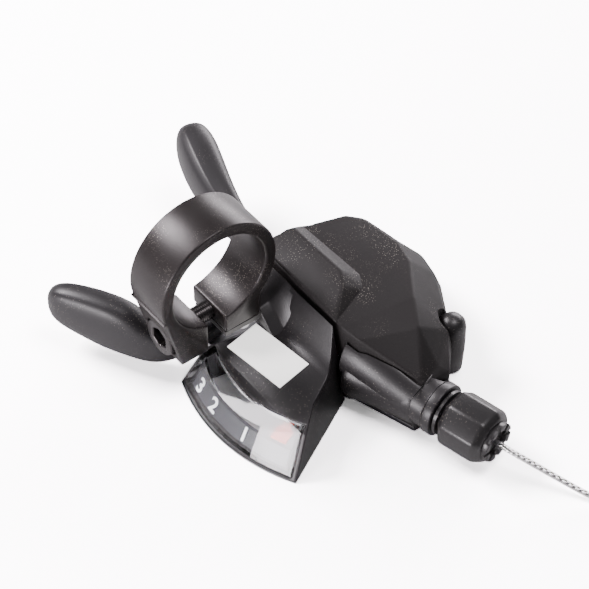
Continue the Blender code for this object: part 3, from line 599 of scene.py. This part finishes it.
def addBolt(settings):
    z = settings["height"]
    bolt = addRod("clampBoltHead", settings["head"], (0, settings["headFrom"], z), (0, settings["headTo"], z))
    cutAway(bolt, addRod("hexSocket", settings["socket"], (0, -14, z), (0, settings["socketTo"], z), 6))
    roundEdges(bolt, settings["edge"], 3, 40)
    shank = addRod(
        "clampBoltShank", settings["shank"], (0, settings["shankFrom"], z), (0, settings["shankTo"], z), 40,
    )
    for i in range(settings["threads"]):  # threads seen in the band's gap
        y = settings["firstThread"] + settings["pitch"] * i
        joinPieces(shank, addRod(f"thread{i}", settings["thread"], (0, y - 0.1, z), (0, y + 0.1, z), 40))
    joinPieces(bolt, shank)
    smoothFaces(bolt, 35)
    return finishPiece(bolt, "housing", "dark_steel", "darkScrew", "clamp_bolt")


addBand(bandSettings)
addBolt(boltSettings)
print("clamp modelled")

# Shroud between the clamp's foot and the cover, over the steel plate. Its outline, as y and z, falls away
# from the full one to the low one, on the display's slope, by steps of x and share
shroudSettings = {
    "full": [(9.8, 9.6), (9.8, 14.7), (12.4, 15.2), (15.0, 16.8), (16.8, 18.8), (17.4, 9.6)],
    "low": [(9.8, 9.0), (9.8, 9.9), (12.4, 10.8), (14.8, 14.5), (16.6, 18.4), (17.4, 9.6)],
    "steps": [(-5.3, 0.0), (4.6, 0.0), (6.6, 0.35), (8.4, 0.8), (9.6, 1.0)], "edge": 0.35,
}


def addShroud(settings):
    rings = []
    for x, fall in settings["steps"]:
        pairs = zip(settings["full"], settings["low"])
        rings.append([(x, y + (v - y) * fall, z + (w - z) * fall) for (y, z), (v, w) in pairs])
    shroud = extrudeRings("plateShroud", rings)
    roundEdges(shroud, settings["edge"], 3, 25)
    smoothFaces(shroud, 45)
    return finishPiece(shroud, "housing", "satin_black", "satinHousing")


addShroud(shroudSettings)
print("shroud modelled")

# Levers: a blade section carried along the lever, then subdivided.
# Each row: x, y, z, half thickness, half height, heading in degrees
thumbSettings = {
    "creased": 5, "ridges": (3, 13), "sharp": 0.6,
    "sections": [
        (-26.6, -20.1, 11.3, 1.0, 2.2, 32), (-25.0, -19.3, 11.2, 2.7, 4.7, 32),
        (-21.0, -17.0, 11.0, 3.4, 5.9, 31), (-15.0, -13.6, 10.2, 3.8, 6.9, 30),
        (-9.8, -10.7, 9.7, 3.7, 6.6, 29), (-5.3, -7.9, 6.8, 3.1, 4.1, 42),
        (-4.0, -2.2, 6.4, 2.7, 3.4, 84), (-4.3, 4.5, 5.6, 2.5, 2.6, 96), (-4.6, 7.5, 5.2, 1.8, 1.8, 98),
    ],
}
releaseSettings = {
    "creased": 6, "ridges": (5, 11), "sharp": 0.75,
    "sections": [
        (-42.7, 27.3, 17.9, 1.2, 2.0, -16), (-41.0, 26.7, 17.8, 3.7, 4.6, -16),
        (-36.4, 25.2, 17.4, 4.5, 5.8, -18), (-30.3, 23.1, 16.8, 4.3, 5.6, -17),
        (-22.9, 21.2, 15.7, 3.6, 4.9, -12), (-16.1, 20.6, 14.4, 2.9, 3.6, 0),
        (-10.5, 21.8, 12.4, 2.4, 1.5, 16), (-6.5, 24.0, 11.7, 2.3, 0.8, 34),
        (-3.2, 26.6, 11.6, 2.5, 0.75, 40), (1.2, 30.0, 11.6, 2.4, 0.75, 38),
    ],
}


def bladeRing(section, count=16, power=0.72):
    x, y, z, thick, high, heading = section
    side = Vector((-math.sin(math.radians(heading)), math.cos(math.radians(heading)), 0))
    ring = []
    for i in range(count):
        turn = 2 * math.pi * i / count
        c, s = math.cos(turn), math.sin(turn)
        across = math.copysign(abs(c) ** power, c) * thick
        upward = math.copysign(abs(s) ** power, s) * high
        ring.append(Vector((x, y, z)) + side * across + Vector((0, 0, upward)))
    return ring


def creaseAlong(piece, rows, points, sharp):
    # keeps the ridges that run from ring to ring firm when the lever is subdivided
    shape = bmesh.new()
    shape.from_mesh(piece.data)
    layer = shape.edges.layers.float.new("crease_edge")
    rings = [[Vector(place(*spot)) for spot in ring] for ring in rows]
    for first, second in zip(rings, rings[1:]):
        for i in points:
            ends = [min(shape.verts, key=lambda v: (v.co - ring[i]).length) for ring in (first, second)]
            edge = shape.edges.get(ends)
            if edge:
                edge[layer] = sharp
    shape.to_mesh(piece.data)
    shape.free()


def addLever(name, settings, body, replaced):
    rows = [bladeRing(section) for section in settings["sections"]]
    lever = extrudeRings(name, rows)
    creaseAlong(lever, rows[1:settings["creased"]], settings["ridges"], settings["sharp"])
    applyModifier(lever, "SUBSURF", levels=3, render_levels=3)
    smoothFaces(lever, 60)
    return finishPiece(lever, body, "satin_black", "leverPlastic", replaced)


addLever("thumbLeverPad", thumbSettings, "thumb_lever", "thumb_lever_pad")
addLever("releaseLeverBlade", releaseSettings, "release_lever", "release_lever")
print("levers modelled")

# Top cover: outline, shoulder and crown rings, rounded, then hollowed, and a raised panel as its own block
coverSettings = {
    "foot": [
        (39.5, 30.5), (32.5, 37.2), (27.0, 41.0), (19.5, 45.6), (14.0, 47.3), (4.0, 47.0), (-4.0, 42.0),
        (-8.0, 34.0), (-8.5, 26.0), (-7.8, 19.5), (-4.0, 16.9), (8.0, 16.9), (21.5, 17.0), (26.0, 17.9),
        (39.5, 22.0),
    ],
    "footHeight": 9.8,
    "shoulder": [
        (39.9, 30.4, 12.2), (32.2, 36.4, 14.0), (26.8, 39.8, 14.0), (18.6, 44.3, 14.0), (13.0, 45.6, 14.0),
        (3.0, 43.8, 14.0), (-4.5, 40.5, 14.0), (-7.5, 33.0, 14.0), (-8.0, 26.0, 14.0), (-7.2, 20.0, 14.0),
        (-4.0, 17.0, 14.0), (8.0, 17.0, 14.0), (21.8, 17.2, 14.0), (26.2, 18.1, 14.0), (39.3, 22.6, 11.0),
    ],
    "crown": [
        (37.6, 29.0, 13.6), (31.0, 29.2, 19.2), (25.0, 33.2, 20.0), (16.9, 39.0, 20.0), (11.5, 40.4, 20.0),
        (2.0, 39.2, 20.0), (-1.1, 36.6, 20.0), (-3.2, 30.0, 20.0), (-5.0, 26.5, 20.0), (-5.5, 21.0, 20.0),
        (-3.6, 17.8, 19.2), (8.0, 17.6, 19.0), (21.5, 17.6, 18.9), (25.6, 18.3, 18.3), (38.8, 24.2, 12.9),
    ],
    "panelFoot": [(20.6, 17.2), (17.4, 28.2), (14.0, 30.4), (-4.2, 30.2), (-5.8, 26.0), (-5.6, 18.2)],
    "panelTop": [
        (19.0, 17.6, 19.5), (14.9, 23.2, 21.3), (11.7, 25.2, 22.0), (-3.4, 25.1, 22.0), (-4.4, 23.6, 21.4),
        (-4.0, 18.0, 19.7),
    ],
    "wall": 1.3, "crease": 0.55, "panelFootHeight": 18.4, "panelCrease": 0.5,
    "platePassage": ((-6.2, 12, 12.5), (7.0, 21, 14.5)), "leverPassage": ((-14, 16.0, 8), (-3.4, 33.5, 16.6)),
    "post": (30.3, 39.0), "postNotch": 3.2, "postNotchTop": 15.6,
}


def addTopCover(settings):
    foot = [(x, y, settings["footHeight"]) for x, y in settings["foot"]]
    cover = extrudeRings("topCover", [foot, settings["shoulder"], settings["crown"]])
    facetFaces(cover)
    roundEdges(cover, settings["crease"], 4, 9)
    mergeClose(cover)
    cutAway(cover, coverRoom(settings))
    for passage in ("platePassage", "leverPassage"):
        cutAway(cover, addBlock(passage, *settings[passage]))
    post, top = settings["post"], settings["postNotchTop"]
    cutAway(cover, addRod("postNotch", settings["postNotch"], (*post, -2), (*post, top)))
    low = [(x, y, settings["panelFootHeight"]) for x, y in settings["panelFoot"]]
    panel = extrudeRings("raisedPanel", [low, settings["panelTop"]])
    facetFaces(panel)
    roundEdges(panel, settings["panelCrease"], 4, 9)
    joinPieces(cover, panel)
    smoothFaces(cover, 30)
    return finishPiece(cover, "housing", "matte_black", "mattCover", "top_cover")


def facetFaces(piece):
    # bent faces are split into flat ones, and flat neighbours joined
    makeActive(piece)
    bpy.ops.object.mode_set(mode="EDIT")
    bpy.ops.mesh.select_all(action="SELECT")
    bpy.ops.mesh.quads_convert_to_tris(quad_method="SHORTEST_DIAGONAL", ngon_method="BEAUTY")
    bpy.ops.mesh.dissolve_limited(angle_limit=math.radians(4))
    bpy.ops.object.mode_set(mode="OBJECT")


def mergeClose(piece):
    makeActive(piece)
    bpy.ops.object.mode_set(mode="EDIT")
    bpy.ops.mesh.select_all(action="SELECT")
    bpy.ops.mesh.remove_doubles(threshold=0.000005)
    bpy.ops.object.mode_set(mode="OBJECT")


def coverRoom(settings):
    # the hollow, drawn in from the cover's own rings by the wall
    wall = settings["wall"]
    below = [(x, y, 6.0) for x, y in settings["foot"]]  # well under the cover's foot
    rings = []
    for ring, drop in ((below, 0), (settings["shoulder"], wall), (settings["crown"], wall)):
        row = []
        for x, y, z in ring:
            inward = Vector((axle.x - x, axle.y - y)).normalized() * wall
            row.append((x + inward.x, y + inward.y, z - drop))
        rings.append(row)
    return extrudeRings("coverRoom", rings)


addTopCover(coverSettings)
print("top cover modelled")

# Shells, rounded from the CAD solids' own faces: the node, finish, slot, body, edge width and edge angle
shellSettings = {
    "gearDisplayHousing": ("indicator_housing", "satinHousing", "satin_black", "housing", 0.30, 30),
    "mainHousing": ("main_housing", "satinHousing", "satin_black", "housing", 0.25, 35),
    "lowerCover": ("bottom_cover", "satinHousing", "satin_black", "housing", 0.20, 35),
    "sidePost": ("access_cap", "satinHousing", "satin_black", "housing", 0.15, 50),
}

for pieceName, (source, finishName, slotName, body, width, angle) in shellSettings.items():
    shell = copyOfNode(pieceName, source)
    roundEdges(shell, width, 3, angle)
    smoothFaces(shell, 34)
    finishPiece(shell, body, slotName, finishName, source)
    print("shell:", pieceName, len(shell.data.polygons), "faces")

# Cable outlet: a fairing swells from the display housing to the collar, and the adjuster is eight-sided
fairingSettings = {
    # x, centre y and z, half width, half height
    "sections": [
        (22.5, 20.6, 6.9, 6.6, 6.1), (25.0, 21.0, 7.0, 6.6, 6.0), (29.0, 22.2, 7.1, 6.1, 5.7),
        (34.0, 23.7, 7.2, 5.5, 5.4), (38.5, 24.9, 7.2, 5.25, 5.25), (39.5, 25.2, 7.2, 5.1, 5.1),
    ],
    "squareness": 0.85, "slant": 0.2, "points": 20,
}
barrelSettings = {
    # the profile has distances along the cable and radii; each rod has its radius, start and end
    "profile": [(3.95, 4.7), (5.1, 6.2), (13.1, 6.2), (14.5, 5.0)], "sides": 8, "edge": 0.55,
    "neck": (3.3, -0.6, 4.6), "mouth": (4.3, 14.2, 15.6), "hollow": (2.8, 14.3, 18.0), "mouthEdge": 0.12,
    "notches": 4, "notch": 0.5, "notchReach": 6,
}


def addFairing(settings):
    rings = []
    for x, y, z, wide, high in settings["sections"]:
        ring = []
        for i in range(settings["points"]):
            turn = 2 * math.pi * i / settings["points"]
            c, s = math.cos(turn), math.sin(turn)
            spread = math.copysign(abs(c) ** settings["squareness"], c) * wide
            rise = math.copysign(abs(s) ** settings["squareness"], s) * high
            ring.append((x - settings["slant"] * spread, y + spread, z + rise))
        rings.append(ring)
    fairing = extrudeRings("outletFairing", rings)
    applyModifier(fairing, "SUBSURF", levels=2, render_levels=2)
    smoothFaces(fairing, 60)
    return finishPiece(fairing, "housing", "satin_black", "satinHousing")


def rodOnCable(name, size, sides):
    radius, start, end = size
    return addRod(name, radius, alongCable(start), alongCable(end), sides)


def addBarrel(settings):
    sides = settings["sides"]
    rings = [
        [alongCable(distance, radius, 2 * math.pi * (i + 0.5) / sides) for i in range(sides)]
        for distance, radius in settings["profile"]
    ]
    barrel = extrudeRings("adjusterBarrel", rings)
    roundEdges(barrel, settings["edge"], 4, 20)
    mouth = rodOnCable("barrelMouth", settings["mouth"], 48)
    cutAway(mouth, rodOnCable("mouthBore", settings["hollow"], 40))
    end, reach = settings["mouth"][2], settings["notchReach"]
    for i in range(settings["notches"]):
        turn = math.pi * i / settings["notches"]
        start, stop = alongCable(end, reach, turn), alongCable(end, -reach, turn)
        cutAway(mouth, addRod(f"mouthNotch{i}", settings["notch"], start, stop, 12))
    roundEdges(mouth, settings["mouthEdge"], 2, 40)
    neck = rodOnCable("barrelNeck", settings["neck"], 48)
    joinPieces(barrel, mouth, neck)
    smoothFaces(barrel, 30)
    return finishPiece(barrel, "adjuster", "satin_black", "rubberedBarrel", "adjuster_barrel")


addFairing(fairingSettings)
addBarrel(barrelSettings)
print("cable outlet modelled")

# Carried-over nodes and their finishes
plainFinishes = {
    "zincPlate": [
        "main_axle", "axle_nut", "cable_nipple", "ratchet_plate", "position_plate", "winding_pawl",
        "winding_pawl_pin", "holding_pawl", "holding_pawl_pin", "pawl_spring", "drum_return_spring",
        "lever_return_spring", "release_lever_spring", "thumb_lever_arm", "lever_rivet_1", "lever_rivet_2",
        "release_lever_pin", "cover_screw_1", "cover_screw_2", "cover_screw_3", "bracket_screw_1",
        "bracket_screw_2", "inner_wire",
    ],
    "rubberedBarrel": ["adjuster_spring"],
    "greyPlate": ["main_plate"],
    "clearPlastic": ["indicator_lens"],
    "paleNylon": ["cable_drum"],
    "orangeNeedle": ["indicator_needle"],
    "dialPrint": ["dial_strip"],
    "paperLabel": ["label_sticker"],
}
for finishName, members in plainFinishes.items():
    for member in members:
        nodes[member].data.materials.clear()
        nodes[member].data.materials.append(materials[finishName])

# Gear numbers on the dial strip, each a text made into a mesh and laid on the window's cone
numeralSettings = {
    "size": 4.5, "thickness": 0.05, "boldness": 0.09, "numbers": [("3", -14.8), ("2", -6.2), ("1", 8.5)],
    "radius": 37.75, "height": 3.05, "slope": 60,
}


def addNumeral(text, degrees, settings):
    deselectAll()
    bpy.ops.object.text_add()
    words = bpy.context.object
    words.data.body = text
    words.data.size = settings["size"] * millimetre
    words.data.align_x, words.data.align_y = "CENTER", "CENTER"
    words.data.extrude = settings["thickness"] * millimetre
    words.data.offset = settings["boldness"] * millimetre
    bpy.ops.object.convert(target="MESH")
    numeral = newest("gearNumber" + text)
    angle = math.radians(degrees)
    out = Vector((math.sin(angle), -math.cos(angle), 0))
    slope = math.radians(settings["slope"])
    normal = (out * math.sin(slope) + Vector((0, 0, math.cos(slope)))).normalized()
    across = Vector((-out.y, out.x, 0))
    upward = normal.cross(across)
    middle = axle + out * settings["radius"] + Vector((0, 0, settings["height"]))
    turn = Matrix((across, upward, normal)).transposed().to_4x4()
    numeral.matrix_world = Matrix.Translation(place(*middle)) @ turn
    settle(numeral)
    return finishPiece(numeral, "housing", "white_label", "numeralPaint")


for text, degrees in numeralSettings["numbers"]:
    addNumeral(text, degrees, numeralSettings)
print("dial modelled")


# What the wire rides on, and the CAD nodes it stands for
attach(wire, "housing")
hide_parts("shift_wire", "wire_coil")

# Stage: a pale floor, a key light from the left, softer ones behind and above, and a low one for the lens
stageSettings = {
    "floorSize": 3.0, "floorSeen": 5.6, "floorBounce": 0.70, "world": 0.20, "tint": (1.0, 0.945, 0.985),
    "lamps": [
        {"name": "key", "at": (-0.40, -0.20, 0.46), "size": (0.24, 0.24), "power": 6.5},
        {"name": "back", "at": (-0.28, 0.60, 0.17), "size": (0.50, 0.24), "power": 5.0},
        {"name": "top", "at": (0.16, 0.10, 0.60), "size": (0.26, 0.26), "power": 2.2},
        {"name": "window", "at": (0.035, -0.50, 0.065), "size": (0.21, 0.10), "power": 2.7},
    ],
}


def addFloor(settings):
    # seen directly the floor is bright paper, while what it throws back on the object stays soft
    deselectAll()
    bpy.ops.mesh.primitive_plane_add(size=settings["floorSize"])
    floor = newest("floor")
    material = bpy.data.materials.new("paleFloor")
    material.use_nodes = True
    tree = material.node_tree
    tree.nodes.remove(tree.nodes["Principled BSDF"])
    seen = node(tree, "ShaderNodeBsdfDiffuse", input0=(*[settings["floorSeen"]] * 3, 1))
    bounce = node(tree, "ShaderNodeBsdfDiffuse", input0=(*[settings["floorBounce"]] * 3, 1))
    path = node(tree, "ShaderNodeLightPath")
    mix = node(tree, "ShaderNodeMixShader", [
        (0, path.outputs["Is Camera Ray"]), (1, bounce.outputs[0]), (2, seen.outputs[0]),
    ])
    tree.links.new(mix.outputs[0], tree.nodes["Material Output"].inputs["Surface"])
    floor.data.materials.append(material)


def addLights(settings):
    world = bpy.data.worlds.new("studio")
    bpy.context.scene.world = world
    world.use_nodes = True
    world.node_tree.nodes["Background"].inputs["Color"].default_value = (1, 1, 1, 1)
    world.node_tree.nodes["Background"].inputs["Strength"].default_value = settings["world"]
    target = place(10, 20, 10)
    for lamp in settings["lamps"]:
        light = bpy.data.lights.new(lamp["name"], "AREA")
        light.shape = "RECTANGLE"
        light.size, light.size_y = lamp["size"]
        light.energy = lamp["power"]
        light.color = settings["tint"]
        holder = bpy.data.objects.new(lamp["name"], light)
        holder.location = lamp["at"]
        holder.rotation_euler = (Vector(lamp["at"]) - target).to_track_quat("Z", "Y").to_euler()
        bpy.context.scene.collection.objects.link(holder)


addFloor(stageSettings)
addLights(stageSettings)
deselectAll()
print("stage set")
